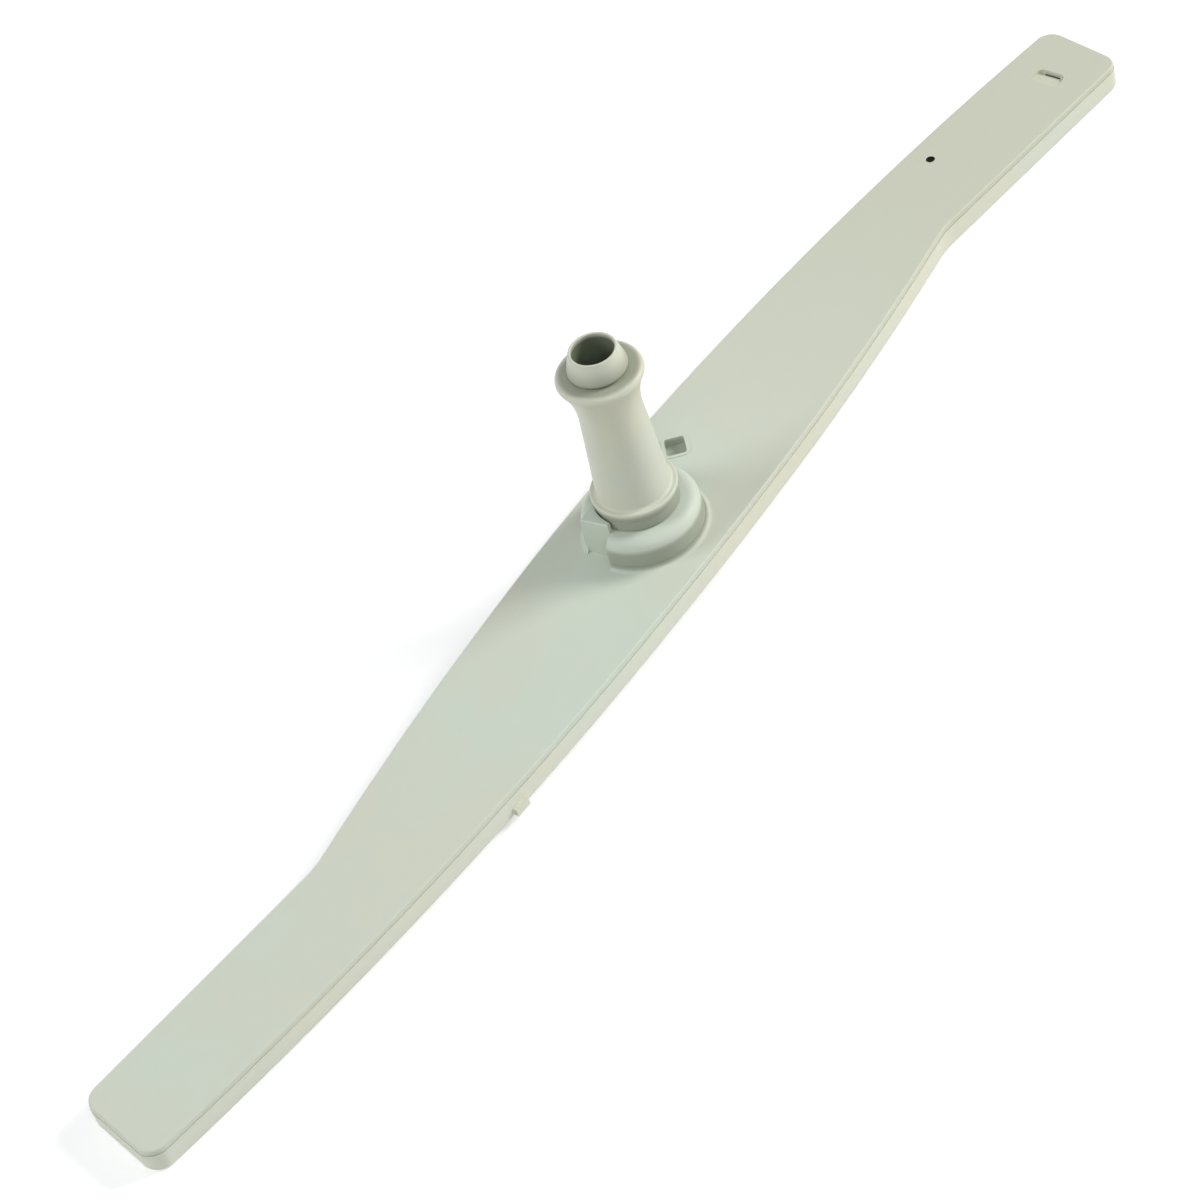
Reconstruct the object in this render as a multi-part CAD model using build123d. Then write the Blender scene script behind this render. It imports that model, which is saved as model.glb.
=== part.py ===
"""Dishwasher spray arm with a snap-in feed neck.

Two mouldings are welded along their edge into a flat hollow arm: a cover with
the bearing collar, and a trough with the jets. A tapered feed neck snaps into
the collar, and the arm spins on it. +Z is up along the neck, X runs along the
arm, and the origin lies on the surface the arm rests on, below the neck.
Lengths are in millimetres.
"""
from build123d import *
import math
import os

os.makedirs("parts", exist_ok=True)

# Arm outline, which looks the same after half a turn about the neck
HALF_LENGTH = 230.4
TIP_WIDTH = 29.4
TIP_RAKE = 2.4
TIP_CORNER_R = 5.5
HUB_WIDTH = 48.2
HUB_EDGE_ANGLE = 3.0
KINK_X = 140.0
KINK_INSET = 7.9
KINK_R = 30.0

# Arm section: both wings slope down from a level land round the neck
ARM_HEIGHT = 8.8
TIP_DROP = 3.0
HUB_LAND = 24.0
COVER_THICKNESS = 1.6
COVER_EDGE_R = 0.6
SEAM_STEP = 0.2
SEAM_GAP = 0.4
WELD_RIB = 1.4
WELD_RIB_INSET = 0.4
TROUGH_WALL = 2.5
TROUGH_FLOOR = 1.8
TROUGH_EDGE_R = 1.6

# Bearing collar on the cover
COLLAR_BASE_R = 17.7
COLLAR_TOP_R = 17.1
COLLAR_HEIGHT = 9.8
COLLAR_RIM_R = 3.4
COLLAR_FOOT_R = 1.6
LIP_THICKNESS = 2.2
BEARING_CLEARANCE = 0.1
AXIAL_PLAY = 0.35
TAB_WIDTH = 9.0
TAB_OFFSET = 6.7
TAB_FACE = 13.6
TAB_TURN = 10.0
TAB_HEIGHT = 12.8
TAB_CLEARANCE = 0.6
TAB_EDGE_R = 0.5

# Feed neck
NECK_HEIGHT = 69.0
BORE_R = 6.1
BORE_LENGTH = 17.0
MOUTH_CHAMFER = 0.6
NOSE_R = 7.9
NOSE_LENGTH = 8.2
NOSE_EDGE_R = 0.8
NOSE_RELIEF = 0.5
NOSE_RELIEF_WIDTH = 1.4
BEAD_R = 12.5
BEAD_THICKNESS = 2.8
BEAD_ROUND_R = 1.2
BEAD_SLOPE = 0.4
WAIST_R = 9.1
WAIST_DROP = 22.5
CONE_FOOT_R = 10.8
FOOT_RING_R = 12.6
FOOT_RING_THICKNESS = 2.6
FOOT_RING_LIFT = 4.4
FOOT_RING_EDGE_R = 0.6
FOOT_FILLET_R = 1.0
THRUST_SHOULDER = 0.6
SHAFT_R = 11.3
SHAFT_WALL = 2.1
BARB_DEPTH = 1.4
BARB_HEIGHT = 4.2
SLIT_WIDTH = 1.8
SLIT_COUNT = 4

# Openings and the blind pocket in the cover
JET_R = 1.4
JET_BELL_ANGLE = 45.0
COVER_JET_X = 165.0
COVER_JET_Y = 13.8
SCOOP_TIP_MARGIN = 18.4
SCOOP_Y = 1.5
SCOOP_LENGTH = 6.0
SCOOP_WIDTH = 9.5
SCOOP_DEPTH = 1.5
SCOOP_CORNER_R = 2.0
SLIT_JET_WIDTH = 0.8
SLIT_JET_LENGTH = 5.5
POCKET_X = 29.0
POCKET_Y = 11.0
POCKET_TURN = 46.0
POCKET_LENGTH = 7.0
POCKET_WIDTH = 6.0
POCKET_DEPTH = 2.6
POCKET_CORNER_R = 0.8
POCKET_WALL = 1.0
POCKET_RIM_HEIGHT = 0.3

# Jets in the trough floor
JET_FIRST_RADIUS = 58.0
JET_TIP_MARGIN = 12.0
JET_ROW_COUNT = 5
JET_ROW_OFFSET = 4.0

# Gate mark on the trough's side wall
GATE_X = 94.0
GATE_LENGTH = 5.0
GATE_HEIGHT = 2.5
GATE_PROUD = 1.4

# Levels, from the surface that the wing tips rest on
HUB_TOP = ARM_HEIGHT + TIP_DROP
COVER_UNDER = HUB_TOP - COVER_THICKNESS
TROUGH_TOP = COVER_UNDER - SEAM_GAP
HUB_UNDER = HUB_TOP - ARM_HEIGHT
RIM_TOP = HUB_TOP + COLLAR_HEIGHT
LIP_UNDER = RIM_TOP - LIP_THICKNESS
LIP_R = SHAFT_R + BEARING_CLEARANCE
WING_SLOPE = TIP_DROP / (HALF_LENGTH + TIP_RAKE - HUB_LAND)
SCOOP_X = HALF_LENGTH - SCOOP_TIP_MARGIN
JET_PITCH = (HALF_LENGTH - JET_TIP_MARGIN - JET_FIRST_RADIUS) / (JET_ROW_COUNT - 0.5)
WIDE = 2 * HUB_WIDTH
TALL = 2 * (ARM_HEIGHT + COLLAR_HEIGHT)
NEAR = 0.01


def turned(point):
    """The point after half a turn about the neck."""
    return (-point[0], -point[1])


def outline():
    """Plan of the arm: on each side two tangent arcs meet abreast of the neck,
    and a straight run goes from the kink to the other tip."""
    tip = TIP_WIDTH / 2
    hub = (0.0, HUB_WIDTH / 2)
    lead = (HALF_LENGTH + TIP_RAKE, tip)
    trail = (HALF_LENGTH - TIP_RAKE, -tip)
    kink = (-KINK_X, KINK_INSET)
    slope = math.tan(math.radians(HUB_EDGE_ANGLE))
    edges = [
        TangentArc(hub, lead, tangent=(1, slope)),
        TangentArc(hub, kink, tangent=(-1, -slope)),
        Line(kink, turned(trail)),
        Line(turned(trail), turned(lead)),
        TangentArc(turned(hub), turned(lead), tangent=(-1, -slope)),
        TangentArc(turned(hub), turned(kink), tangent=(1, slope)),
        Line(turned(kink), trail),
        Line(trail, lead),
    ]
    face = make_face(edges)
    tips = face.vertices().filter_by(lambda v: abs(v.X) > KINK_X + NEAR)
    face = fillet(tips, TIP_CORNER_R)
    kinks = face.vertices().filter_by(lambda v: abs(abs(v.X) - KINK_X) < NEAR)
    return fillet(kinks, KINK_R)


PLAN = outline()


def wing_slab(low, high, inset):
    """Slab of the arm between two levels at the neck, its edge set in from the
    outline, with both wings sloping down to the tips."""
    plan = offset(PLAN, -inset) if inset else PLAN
    reach = HALF_LENGTH + TIP_WIDTH
    drop = WING_SLOPE * (reach - HUB_LAND)
    side = Polyline(
        (-reach, high - drop), (-HUB_LAND, high), (HUB_LAND, high), (reach, high - drop),
        (reach, low - drop), (HUB_LAND, low), (-HUB_LAND, low), (-reach, low - drop), close=True,
    )
    band = extrude(Plane.XZ * make_face(side), WIDE, both=True)
    prism = extrude(plan, TALL, both=True)
    return prism & band


def surface_level(x, level):
    """Level of a sloping wing surface at a distance from the neck."""
    return level - WING_SLOPE * max(0.0, abs(x) - HUB_LAND)


def disc(radius, low, high):
    """Upright cylinder about the neck's axis between two levels."""
    return Pos(0, 0, low) * Cylinder(radius, high - low, align=(Align.CENTER, Align.CENTER, Align.MIN))


def belled_jet(x, y, level, wall, outward):
    """Jet hole that widens from the skin to the inside of a wall; outward is +1 up or -1 down."""
    mouth = Plane((x, y, surface_level(x, level)), z_dir=(0, 0, outward))
    depth = 2 * wall
    bell_r = JET_R + depth * math.tan(math.radians(JET_BELL_ANGLE))
    bell = mouth * Cone(bell_r, JET_R, depth, align=(Align.CENTER, Align.CENTER, Align.MAX))
    return bell + mouth * Cylinder(JET_R, wall)


def collar():
    """Bearing collar: a tapered ring with a rounded rim, an inner lip that the neck's
    barbs catch under, and an upright flat tab that stands in a gap of the rim."""
    profile = make_face(Polyline(
        (0, COVER_UNDER), (COLLAR_BASE_R, COVER_UNDER), (COLLAR_BASE_R, HUB_TOP),
        (COLLAR_TOP_R, RIM_TOP), (0, RIM_TOP), close=True,
    ))
    rim_corner = profile.vertices().sort_by(lambda v: v.X + v.Y)[-1]
    profile = fillet(rim_corner, COLLAR_RIM_R)
    ring = revolve(Plane.XZ * profile, Axis.Z)
    foot_in = (COLLAR_BASE_R - COLLAR_FOOT_R, HUB_TOP)
    foot_out = (COLLAR_BASE_R + COLLAR_FOOT_R, HUB_TOP)
    foot_up = (COLLAR_BASE_R, HUB_TOP + COLLAR_FOOT_R)
    foot_curve = TangentArc(foot_out, foot_up, tangent=(-1, 0))
    foot = make_face([Line(foot_in, foot_out), foot_curve, Line(foot_up, foot_in)])
    ring += revolve(Plane.XZ * foot, Axis.Z)

    upright = (Align.MAX, Align.CENTER, Align.MIN)
    tab_side = Rot(0, 0, TAB_TURN)
    gap = tab_side * Pos(-TAB_FACE, TAB_OFFSET, HUB_TOP) * Box(COLLAR_BASE_R, TAB_WIDTH, TALL, align=upright)
    tab = Pos(0, TAB_OFFSET, HUB_TOP) * Box(TAB_FACE, TAB_WIDTH, TAB_HEIGHT, align=upright)
    top_edges = tab.faces().sort_by(Axis.Z)[-1].edges().filter_by(lambda e: e.center().X < -TAB_EDGE_R)
    tab = tab_side * fillet(top_edges, TAB_EDGE_R)
    tab -= disc(SHAFT_R + THRUST_SHOULDER + TAB_CLEARANCE, RIM_TOP, RIM_TOP + TALL)
    ring = ring - gap + tab
    recess_r = SHAFT_R + BARB_DEPTH + TAB_CLEARANCE
    return ring - disc(LIP_R, COVER_UNDER, RIM_TOP + TALL) - disc(recess_r, COVER_UNDER, LIP_UNDER)


def scoop():
    """Cut for the fan jet near one tip: a floor that slopes down to a slit."""
    level = surface_level(SCOOP_X, HUB_TOP)
    tilt = math.degrees(math.atan2(SCOOP_DEPTH, SCOOP_LENGTH))
    shallow_edge = Location((SCOOP_X - SCOOP_LENGTH / 2, SCOOP_Y, level), (0, tilt, 0))
    floor = RectangleRounded(SCOOP_LENGTH, SCOOP_WIDTH, SCOOP_CORNER_R)
    hollow = shallow_edge * Pos(SCOOP_LENGTH / 2, 0, 0) * extrude(floor, ARM_HEIGHT)
    slit_x = SCOOP_X + SCOOP_LENGTH / 2 - SLIT_JET_WIDTH / 2
    slit_plan = SlotOverall(SLIT_JET_LENGTH, SLIT_JET_WIDTH, rotation=90)
    slit = Pos(slit_x, SCOOP_Y, level) * extrude(slit_plan, ARM_HEIGHT / 2, both=True)
    return hollow + slit


def arm_cover():
    """Plate with a weld rib under its edge, the bearing collar, a blind pocket and the jets."""
    plate = wing_slab(COVER_UNDER, HUB_TOP, SEAM_STEP)
    top_edges = plate.faces().filter_by(lambda f: f.normal_at().Z > 0.9).edges()
    rim = top_edges.filter_by(lambda e: abs(abs(e.center().X) - HUB_LAND) > 0.01)
    plate = fillet(rim, COVER_EDGE_R)
    rib_in = SEAM_STEP + WELD_RIB_INSET
    rib = wing_slab(TROUGH_TOP, COVER_UNDER, rib_in) - wing_slab(TROUGH_TOP, COVER_UNDER, rib_in + WELD_RIB)
    plate += rib

    pocket_level = surface_level(POCKET_X, HUB_TOP)
    pocket_place = Pos(POCKET_X, POCKET_Y, pocket_level) * Rot(0, 0, POCKET_TURN)
    cup_size = (POCKET_LENGTH + 2 * POCKET_WALL, POCKET_WIDTH + 2 * POCKET_WALL)
    cup_plan = RectangleRounded(*cup_size, POCKET_CORNER_R + POCKET_WALL)
    cup_under = POCKET_DEPTH + POCKET_WALL
    plate += pocket_place * Pos(0, 0, -cup_under) * extrude(cup_plan, cup_under + POCKET_RIM_HEIGHT)
    hollow_plan = RectangleRounded(POCKET_LENGTH, POCKET_WIDTH, POCKET_CORNER_R)
    plate -= pocket_place * Pos(0, 0, -POCKET_DEPTH) * extrude(hollow_plan, ARM_HEIGHT)

    plate -= disc(COLLAR_BASE_R - COLLAR_FOOT_R, COVER_UNDER, HUB_TOP)
    plate += collar()
    plate -= belled_jet(COVER_JET_X, COVER_JET_Y, HUB_TOP, COVER_THICKNESS, 1)
    return plate - scoop()


def jet_trough():
    """Trough that closes the arm from below, with a row of jets in each wing."""
    outer = wing_slab(HUB_UNDER, TROUGH_TOP, 0)
    low_edges = outer.faces().filter_by(lambda f: f.normal_at().Z < -0.9).edges()
    rim = low_edges.filter_by(lambda e: abs(abs(e.center().X) - HUB_LAND) > 0.01)
    outer = fillet(rim, TROUGH_EDGE_R)
    trough = outer - wing_slab(HUB_UNDER + TROUGH_FLOOR, HUB_TOP, TROUGH_WALL)

    gate_low = HUB_UNDER + TROUGH_EDGE_R / 2
    gate_high = gate_low + GATE_HEIGHT
    gate_band = wing_slab(gate_low, gate_high, -GATE_PROUD) - wing_slab(gate_low, gate_high, TROUGH_WALL / 2)
    trough += gate_band & (Pos(-GATE_X, -HUB_WIDTH / 2, HUB_UNDER) * Box(GATE_LENGTH, HUB_WIDTH, TALL))

    for wing in (1, -1):
        stagger = JET_PITCH / 2 if wing < 0 else 0
        for step in range(JET_ROW_COUNT):
            radius = JET_FIRST_RADIUS + stagger + step * JET_PITCH
            trough -= belled_jet(wing * radius, wing * JET_ROW_OFFSET, HUB_UNDER, TROUGH_FLOOR, -1)
    return trough


def feed_neck():
    """Tapered tube with a nose, a bead, a foot ring and barbed snap fingers."""
    mouth = HUB_TOP + NECK_HEIGHT
    nose_base = mouth - NOSE_LENGTH
    relief_r = NOSE_R - NOSE_RELIEF
    relief_top = nose_base + NOSE_RELIEF_WIDTH
    bead_top = nose_base - BEAD_SLOPE
    bead_low = bead_top - BEAD_THICKNESS
    waist = mouth - WAIST_DROP
    ring_under = RIM_TOP + FOOT_RING_LIFT
    ring_top = ring_under + FOOT_RING_THICKNESS
    thrust = RIM_TOP + AXIAL_PLAY
    catch = LIP_UNDER - AXIAL_PLAY
    skirt = catch - BARB_HEIGHT
    barb_land = catch - BARB_DEPTH / 2
    shoulder_r = SHAFT_R + THRUST_SHOULDER
    skirt_in = SHAFT_R - SHAFT_WALL
    flare = TangentArc((WAIST_R, waist), (BEAD_R, bead_low), tangent=(0, 1))
    outside = Polyline(
        (BEAD_R, bead_low), (BEAD_R, bead_top), (relief_r, nose_base), (relief_r, relief_top - NOSE_RELIEF),
        (NOSE_R, relief_top), (NOSE_R, mouth),
        (BORE_R + MOUTH_CHAMFER, mouth), (BORE_R, mouth - MOUTH_CHAMFER), (BORE_R, mouth - BORE_LENGTH),
        (skirt_in, skirt), (SHAFT_R - BARB_DEPTH / 2, skirt), (SHAFT_R + BARB_DEPTH, barb_land),
        (SHAFT_R + BARB_DEPTH, catch), (SHAFT_R, catch), (SHAFT_R, thrust), (shoulder_r, thrust),
        (shoulder_r, ring_under), (FOOT_RING_R, ring_under), (FOOT_RING_R, ring_top),
        (CONE_FOOT_R, ring_top), (WAIST_R, waist),
    )
    profile = make_face([flare, outside])

    def corner(x, z):
        return profile.vertices().sort_by(lambda v: math.hypot(v.X - x, v.Y - z))[0]

    profile = fillet([corner(BEAD_R, bead_low), corner(BEAD_R, bead_top)], BEAD_ROUND_R)
    profile = fillet(corner(NOSE_R, mouth), NOSE_EDGE_R)
    profile = fillet([corner(FOOT_RING_R, ring_top), corner(FOOT_RING_R, ring_under)], FOOT_RING_EDGE_R)
    profile = fillet(corner(CONE_FOOT_R, ring_top), FOOT_FILLET_R)
    neck = revolve(Plane.XZ * profile, Axis.Z)

    slit_top = RIM_TOP - LIP_THICKNESS / 2
    outward = (Align.MIN, Align.CENTER, Align.MIN)
    slit = Pos(0, 0, skirt) * Box(2 * SHAFT_R, SLIT_WIDTH, slit_top - skirt, align=outward)
    return neck - PolarLocations(0, SLIT_COUNT) * slit


NODES = {"arm_cover": arm_cover, "jet_trough": jet_trough, "feed_neck": feed_neck}
for name, make in NODES.items():
    export_step(make(), f"parts/{name}.step")
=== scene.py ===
import math

import bpy
import numpy as np
from mathutils import Matrix, Vector


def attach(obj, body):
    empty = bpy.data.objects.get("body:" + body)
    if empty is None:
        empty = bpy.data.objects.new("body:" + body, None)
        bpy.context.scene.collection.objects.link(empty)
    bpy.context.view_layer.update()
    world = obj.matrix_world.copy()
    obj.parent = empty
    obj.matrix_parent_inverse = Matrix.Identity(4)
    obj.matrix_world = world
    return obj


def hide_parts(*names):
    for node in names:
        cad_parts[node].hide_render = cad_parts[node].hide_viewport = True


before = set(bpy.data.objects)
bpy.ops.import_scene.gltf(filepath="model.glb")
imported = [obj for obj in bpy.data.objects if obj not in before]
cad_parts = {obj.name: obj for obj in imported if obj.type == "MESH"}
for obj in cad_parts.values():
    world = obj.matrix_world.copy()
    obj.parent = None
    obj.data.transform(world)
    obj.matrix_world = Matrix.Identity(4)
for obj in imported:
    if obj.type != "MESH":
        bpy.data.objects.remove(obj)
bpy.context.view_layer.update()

# The cover: the moulding on the neck's side, a thin plate with the bearing collar, welded to the trough.
# Pale grey-green polypropylene from a spark-eroded mould, so it is matt and very finely grained, with
# faint flow bands that run along the arm from the gate.


class Shade:
    """One shader socket. Arithmetic between sockets and numbers adds Math nodes to its tree."""

    def __init__(self, tree, socket):
        self.tree = tree
        self.socket = socket

    def node(self, kind, settings=None, output=0, **inputs):
        """Adds a node of this kind, sets its settings, then its sockets (named, or s0, s1... by number)."""
        made = self.tree.nodes.new(kind)
        for name, value in (settings or {}).items():
            setattr(made, name, value)
        for name, value in inputs.items():
            key = int(name[1:]) if name[0] == "s" and name[1:].isdigit() else name.replace("_", " ")
            if isinstance(value, Shade):
                self.tree.links.new(value.socket, made.inputs[key])
            else:
                made.inputs[key].default_value = value
        return Shade(self.tree, made.outputs[output]) if made.outputs else None

    def math(self, operation, first, second):
        return self.node("ShaderNodeMath", {"operation": operation}, s0=first, s1=second)

    def axis(self, index):
        """One coordinate of a vector: 0, 1 or 2."""
        return self.node("ShaderNodeSeparateXYZ", output=index, Vector=self)

    def radius(self, x=0.0, y=0.0):
        """The distance of a place from an upright axis, which is the neck's unless another is given."""
        moved = self.node("ShaderNodeVectorMath", {"operation": "SUBTRACT"}, s0=self, s1=(x, y, 0))
        flat = self.node("ShaderNodeVectorMath", {"operation": "MULTIPLY"}, s0=moved, s1=(1, 1, 0))
        return self.node("ShaderNodeVectorMath", {"operation": "LENGTH"}, output=1, s0=flat)

    def ramp(self, start, stop):
        """0 at the start and 1 at the stop, with soft ends."""
        return self.node("ShaderNodeMapRange", {"interpolation_type": "SMOOTHSTEP"},
                         Value=self, From_Min=start, From_Max=stop)

    def mix(self, first, second):
        """Two colours mixed by this factor."""
        return self.node("ShaderNodeMix", {"data_type": "RGBA"}, output=2, s0=self, s6=first, s7=second)

    def __add__(self, other):
        return self.math("ADD", self, other)

    def __radd__(self, other):
        return self.math("ADD", other, self)

    def __sub__(self, other):
        return self.math("SUBTRACT", self, other)

    def __rsub__(self, other):
        return self.math("SUBTRACT", other, self)

    def __mul__(self, other):
        return self.math("MULTIPLY", self, other)

    def __rmul__(self, other):
        return self.math("MULTIPLY", other, self)


def linear(red, green, blue):
    """A colour as the eye reads it (0 to 255 a channel) turned into the linear values that shaders use."""
    return tuple(((c / 255 + 0.055) / 1.055) ** 2.4 for c in (red, green, blue)) + (1.0,)


def new_shade(name):
    """An empty material and a first Shade to build its nodes from, which holds Object coordinates."""
    material = bpy.data.materials.new(name)
    material.use_nodes = True
    material.node_tree.nodes.clear()
    tree = material.node_tree
    return material, Shade(tree, None).node("ShaderNodeTexCoord", output=3)


PATCH_SHARE = 0.7
TINT_SHARE = 0.6
TINT_SPREAD = (0.36, 0.64)
FLOW_STRETCH = (0.12, 1.0, 1.0)
SKIN_SHARE = 0.6
GRAIN_DEPTH = 0.12
GRAIN_STRENGTH = 0.35
SKIN_ROUGHNESS = 0.12
FLOW_ROUGHNESS = 0.1
SPECULAR_LEVEL = 0.35


def moulded_plastic(name, body, cool, warm, patch, grain, gloss, layers=()):
    """A moulded plastic skin.

    The body colour drifts to a cool and a warm tint in soft patches, and a little along the arm in flow
    bands. Two scales of noise make the grain of the mould's skin, which also breaks up the gloss. Each
    layer is a colour and a function that gives its cover, from 0 to 1, at a place.
    """
    material, place = new_shade(name)
    patches = place.node("ShaderNodeTexNoise", Vector=place, Scale=1 / patch, Detail=3.0)
    drawn = place.node("ShaderNodeMapping", Vector=place, Scale=FLOW_STRETCH)
    flow = place.node("ShaderNodeTexNoise", Vector=drawn, Scale=3 / patch, Detail=2.0)
    skin = place.node("ShaderNodeTexNoise", Vector=place, Scale=1 / grain, Detail=2.0)
    pores = place.node("ShaderNodeTexNoise", Vector=place, Scale=0.3 / grain, Detail=1.0)
    drift = patches * PATCH_SHARE + flow * (1 - PATCH_SHARE)
    tint = drift.ramp(*TINT_SPREAD).mix(cool, warm)
    colour = place.node("ShaderNodeMix", {"data_type": "RGBA"}, output=2, s0=TINT_SHARE, s6=body, s7=tint)
    for layer, cover_at in layers:
        colour = cover_at(place).mix(colour, layer)
    height = skin * SKIN_SHARE + pores * (1 - SKIN_SHARE)
    bump = place.node("ShaderNodeBump", Height=height, Strength=GRAIN_STRENGTH, Distance=grain * GRAIN_DEPTH)
    rough = gloss + (skin - 0.5) * SKIN_ROUGHNESS + (flow - 0.5) * FLOW_ROUGHNESS
    surface = place.node("ShaderNodeBsdfPrincipled", Base_Color=colour, Roughness=rough, Normal=bump,
                         Specular_IOR_Level=SPECULAR_LEVEL)
    place.node("ShaderNodeOutputMaterial", Surface=surface)
    return material


YELLOW_SPAN = (0.03, 0.16)
YELLOW_COVER = 0.9
COLLAR_WALL_R = (0.0196, 0.0182)
COLLAR_FRONT_Y = (0.004, -0.003)
COLLAR_RIM_Z = (0.0194, 0.0172)
COLLAR_FOOT_Z = (0.0118, 0.0128)
COLLAR_COVER = 0.8
POCKET_PLACE = (0.029, 0.011)
POCKET_R = (0.0062, 0.0056)
POCKET_Z = (0.0117, 0.0108)
POCKET_COVER = 0.4


def yellower_far_wing(place):
    """The far wing turns a little yellower and darker: none at the hub, full towards the tip."""
    return place.axis(0).ramp(*YELLOW_SPAN) * YELLOW_COVER


def collar_painted_shade(place):
    """Painted shade on the collar's wall, below its rim, on the side towards the camera."""
    wall = place.radius().ramp(*COLLAR_WALL_R) * place.axis(1).ramp(*COLLAR_FRONT_Y)
    height = place.axis(2)
    return wall * height.ramp(*COLLAR_RIM_Z) * height.ramp(*COLLAR_FOOT_Z) * COLLAR_COVER


def pocket_painted_shade(place):
    """Painted shade in the blind pocket beside the collar, darker in colour but at a lower cover than the
    collar's.
    """
    inside = place.radius(*POCKET_PLACE).ramp(*POCKET_R)
    return inside * place.axis(2).ramp(*POCKET_Z) * POCKET_COVER


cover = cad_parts["arm_cover"]
cover.material_slots[0].link = "OBJECT"
cover.material_slots[0].material = moulded_plastic(
    "cover_plastic", body=linear(205, 212, 198), cool=linear(202, 214, 201), warm=linear(209, 210, 194),
    patch=0.05, grain=0.0006, gloss=0.5,
    # Layers: a yellower far wing, then painted shade on the collar's front wall and painted shade in the
    # pocket.
    layers=[(linear(203, 205, 187), yellower_far_wing), (linear(150, 156, 140), collar_painted_shade),
            (linear(128, 133, 115), pocket_painted_shade)])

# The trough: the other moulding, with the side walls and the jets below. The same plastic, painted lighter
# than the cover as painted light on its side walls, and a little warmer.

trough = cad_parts["jet_trough"]
trough.material_slots[0].link = "OBJECT"
trough.material_slots[0].material = moulded_plastic(
    "trough_plastic", body=linear(218, 221, 206), cool=linear(215, 222, 208), warm=linear(222, 220, 201),
    patch=0.04, grain=0.0006, gloss=0.5)

# The feed neck: a moulding of a warmer grey acetal, smoother than the arm because it runs in the arm's collar
# and in the seal of the water feed. Above the collar stand a tapered nose with a thin lip, a round bead, a
# flared cone and a foot ring; below it four barbed fingers snap under the collar's lip.

NECK_COLUMNS = 192
SLIT_COLUMNS = 5
SLIT_COUNT = 4
SHARP_ANGLE = math.radians(38)
MILLIMETRE = 0.001


def arc(centre, radius, start, stop, count=9):
    """Points on a circle in the plane of the profile, from one angle to another, in degrees from +r."""
    turn = np.radians(np.linspace(start, stop, count))
    return np.stack([centre[0] + radius * np.cos(turn), centre[1] + radius * np.sin(turn)], axis=1)


def neck_profile():
    """The neck's section as (r, z) in millimetres: up the outside, over the lip and down the bore.

    Also returns the rows of the outer and the inner point where the slits between the fingers end.
    """
    fingers = np.array([(10.6, 14.85), (12.7, 18.35), (12.7, 19.05), (11.3, 19.05), (11.3, 20.5)])
    shoulder = np.array([(11.3, 21.95), (11.9, 21.95), (11.9, 26.0)])
    foot_ring = np.concatenate([arc((12.0, 26.6), 0.6, -90, 0), arc((12.0, 28.0), 0.6, 0, 90)])
    cone_foot = arc((11.745, 29.6), 1.0, -90, -176.7)
    flare = arc((36.76, 58.3), 27.66, 180, 153.5, 24)
    bead = arc((11.1, 71.7), 1.4, -50, 90, 15)
    nose_foot = np.array([(7.6, 73.35)])
    nose = arc((7.6, 74.6), 1.0, -90, 16.6, 12)
    lip = arc((6.5, 80.4), 0.4, 16.6, 180, 12)
    bore = np.array([(6.1, 63.8), (8.842, 20.5), (9.2, 14.85)])
    outside = np.concatenate([fingers, shoulder, foot_ring, cone_foot, flare, bead, nose_foot, nose, lip])
    return np.concatenate([outside, bore]), len(fingers) - 1, len(outside) + 1


def neck_mesh():
    """A surface of revolution: each profile point is carried round the neck's axis, at radius r and height z.

    The quads of the columns in a slit, below its end, are left out, and flat faces close its sides and top.
    """
    profile, outer_end, inner_end = neck_profile()
    rows = len(profile)
    turn = (np.arange(NECK_COLUMNS) + 0.5) * 2 * np.pi / NECK_COLUMNS
    radius, height = profile[:, :1] * MILLIMETRE, profile[:, 1:] * MILLIMETRE
    points = np.stack([radius * np.cos(turn), radius * np.sin(turn), height + 0 * turn], axis=-1)
    row, column = np.meshgrid(np.arange(rows), np.arange(NECK_COLUMNS), indexing="ij")
    next_row, next_column = (row + 1) % rows, (column + 1) % NECK_COLUMNS

    def vertex(at_row, at_column):
        return at_row * NECK_COLUMNS + at_column

    quads = np.stack([vertex(row, column), vertex(row, next_column), vertex(next_row, next_column),
                      vertex(next_row, column)], axis=-1)
    pitch = NECK_COLUMNS // SLIT_COUNT
    in_slit = (column + SLIT_COLUMNS // 2 + 1) % pitch < SLIT_COLUMNS
    low = (row < outer_end) | (row >= inner_end)
    slit_columns = np.unique(column[in_slit])
    after = (slit_columns + 1) % NECK_COLUMNS
    ceilings = np.stack([vertex(outer_end, after), vertex(outer_end, slit_columns),
                         vertex(inner_end, slit_columns), vertex(inner_end, after)], axis=-1)
    section = np.concatenate([np.arange(outer_end + 1), np.arange(inner_end, rows)])
    first = (np.arange(SLIT_COUNT) * pitch - SLIT_COLUMNS // 2 - 1) % NECK_COLUMNS
    last = (first + SLIT_COLUMNS) % NECK_COLUMNS
    near_sides = vertex(section[::-1][None, :], first[:, None])
    far_sides = vertex(section[None, :], last[:, None])
    faces = [*quads[~(in_slit & low)].tolist(), *ceilings.tolist(), *near_sides.tolist(), *far_sides.tolist()]
    mesh = bpy.data.meshes.new("neck_moulding")
    mesh.from_pydata(points.reshape(-1, 3).tolist(), [], faces)
    mesh.shade_smooth()
    mesh.set_sharp_from_angle(angle=SHARP_ANGLE)
    return mesh


BORE_R = (0.0066, 0.0062)
BORE_Z = (0.0804, 0.0790)
NOSE_Z = (0.0800, 0.0736)
BEAD_Z = (0.0712, 0.0724)
BEAD_R = (0.0122, 0.0104)
LIP_R = (0.0066, 0.0070)
NOSE_COVER = 0.75
FOOT_RING_Z = (0.0284, 0.0268)
BEARING_COVER = 0.7


def bore_painted_shade(place):
    """Painted shade inside the bore, from a little below the mouth."""
    return place.radius().ramp(*BORE_R) * place.axis(2).ramp(*BORE_Z)


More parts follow.
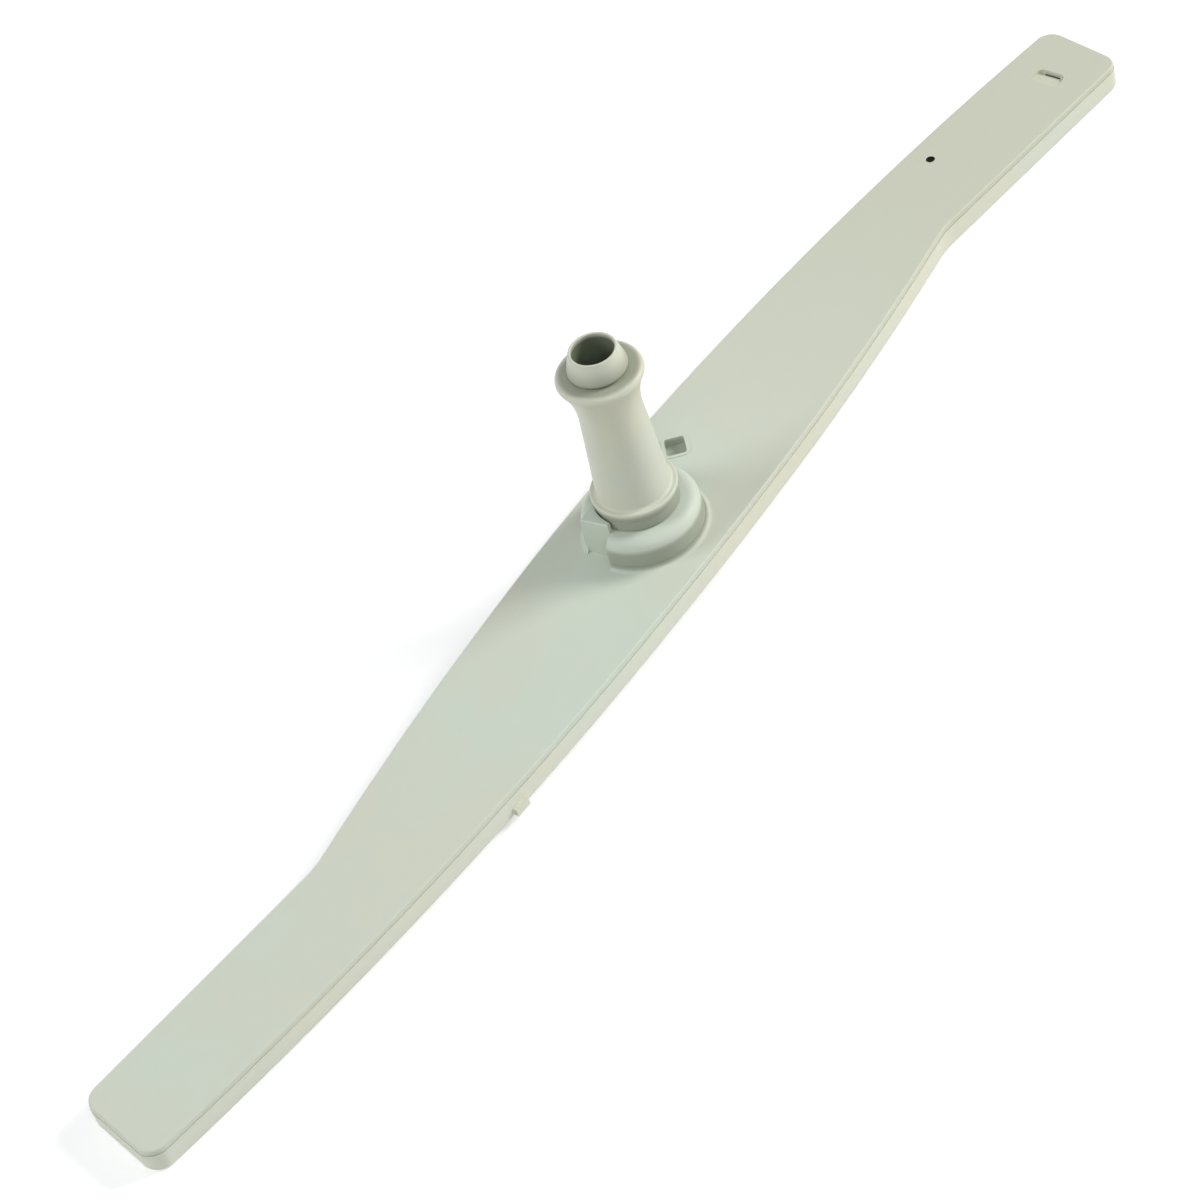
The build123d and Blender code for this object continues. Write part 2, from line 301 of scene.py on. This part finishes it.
def nose_painted_shade(place):
    """Painted shade on the bead's top at the nose's foot, thinner up the nose."""
    height = place.axis(2)
    rising = height.ramp(*NOSE_Z) * height.ramp(*BEAD_Z)
    return rising * place.radius().ramp(*BEAD_R) * place.radius().ramp(*LIP_R) * NOSE_COVER


def bearing_painted_shade(place):
    """Painted shade above the bearing, on the shoulder and the lower half of the foot ring."""
    return place.axis(2).ramp(*FOOT_RING_Z) * BEARING_COVER


neck = bpy.data.objects.new("neck_moulding", neck_mesh())
bpy.context.scene.collection.objects.link(neck)
neck.data.materials.append(moulded_plastic(
    "neck_plastic", body=linear(206, 208, 191), cool=linear(203, 210, 196), warm=linear(211, 208, 186),
    patch=0.03, grain=0.0004, gloss=0.42,
    # Layers: painted shade inside the bore, on the bead's top and up the nose, and on the shoulder and foot
    # ring.
    layers=[(linear(112, 120, 102), bore_painted_shade), (linear(140, 146, 128), nose_painted_shade),
            (linear(132, 140, 124), bearing_painted_shade)]))
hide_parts("feed_neck")
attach(neck, "neck")

# The studio: a wide pale floor that the camera sees as white, with the soft shadow of the arm left on it.
# A large softbox on the right is the key, and weaker ones on the left, above the hub and in front fill in.

FLOOR_HALF = 1.6
FLOOR_GREY = (0.86, 0.86, 0.86, 1)
FLOOR_GLOW = 0.35
FILL_COLOUR = (0.95, 0.98, 1.0, 1)
FILL_STRENGTH = 0.27
WHITE = (1, 1, 1, 1)
HUB = (0, 0, 0.02)

floor_mesh = bpy.data.meshes.new("studio_floor")
floor_mesh.from_pydata(
    [(-FLOOR_HALF, -FLOOR_HALF, 0), (FLOOR_HALF, -FLOOR_HALF, 0), (FLOOR_HALF, FLOOR_HALF, 0),
     (-FLOOR_HALF, FLOOR_HALF, 0)], [], [(0, 1, 2, 3)])
floor = bpy.data.objects.new("studio_floor", floor_mesh)
bpy.context.scene.collection.objects.link(floor)


def seen_rays(shade):
    """1 for a ray that the camera sees straight, in a reflection or through glass, and 0 for other rays."""
    straight = shade.node("ShaderNodeLightPath", output=0)
    mirrored = shade.node("ShaderNodeLightPath", output=3)
    through = shade.node("ShaderNodeLightPath", output=6)
    return shade.math("MAXIMUM", shade.math("MAXIMUM", straight, mirrored), through)


floor_material, place = new_shade("studio_white")
matt = place.node("ShaderNodeBsdfDiffuse", Color=FLOOR_GREY)
glow = place.node("ShaderNodeEmission", Strength=seen_rays(place) * FLOOR_GLOW)
place.node("ShaderNodeOutputMaterial", Surface=place.node("ShaderNodeAddShader", s0=matt, s1=glow))
floor_mesh.materials.append(floor_material)

world = bpy.data.worlds.new("studio")
bpy.context.scene.world = world
world.use_nodes = True
world.node_tree.nodes.clear()
sky = Shade(world.node_tree, None)
fill = sky.node("ShaderNodeBackground", Color=FILL_COLOUR, Strength=FILL_STRENGTH)
white = sky.node("ShaderNodeBackground", Color=WHITE, Strength=1.0)
studio_sky = sky.node("ShaderNodeMixShader", s0=seen_rays(sky), s1=fill, s2=white)
sky.node("ShaderNodeOutputWorld", Surface=studio_sky)


def softbox(name, place, aim, size, power, colour=(1, 1, 1)):
    """A square area light of this size at a place, turned to an aim."""
    lamp = bpy.data.lights.new(name, "AREA")
    lamp.size = size
    lamp.energy = power
    lamp.color = colour
    box = bpy.data.objects.new(name, lamp)
    turn = (Vector(aim) - Vector(place)).to_track_quat("-Z", "Y")
    box.matrix_world = Matrix.Translation(place) @ turn.to_matrix().to_4x4()
    bpy.context.scene.collection.objects.link(box)


softbox("softbox_key", (1.84, -1.2, 1.36), HUB, 0.88, 46, (1, 0.985, 0.95))
softbox("softbox_left", (-1.1, 0.85, 1.0), HUB, 0.7, 10, (0.97, 0.99, 1))
softbox("softbox_top", (0.05, -0.14, 0.52), HUB, 0.25, 0.17)
softbox("softbox_front", (-0.6, -0.77, 1.0), HUB, 0.6, 3)

# The camera: a long lens above the near left wing, rolled so that the neck leans to the left.

AIM = (-0.0290, -0.0056, 0.0118)
DISTANCE = 0.9976
TURN = math.radians(-39.45)
ELEVATION = math.radians(45.19)
ROLL = math.radians(-18.03)
SENSOR_WIDTH = 36
FOCAL_LENGTH = 107.8

camera = bpy.data.cameras.new("camera")
camera.sensor_width = SENSOR_WIDTH
camera.lens = FOCAL_LENGTH
camera.clip_start = 0.01
eye = bpy.data.objects.new("camera", camera)
turn = Matrix.Rotation(TURN, 4, "Z")
tilt = Matrix.Rotation(math.pi / 2 - ELEVATION, 4, "X")
roll = Matrix.Rotation(ROLL, 4, "Z")
eye.matrix_world = Matrix.Translation(AIM) @ turn @ tilt @ roll @ Matrix.Translation((0, 0, DISTANCE))
bpy.context.scene.collection.objects.link(eye)
bpy.context.scene.camera = eye
bpy.context.scene.view_settings.view_transform = "Standard"
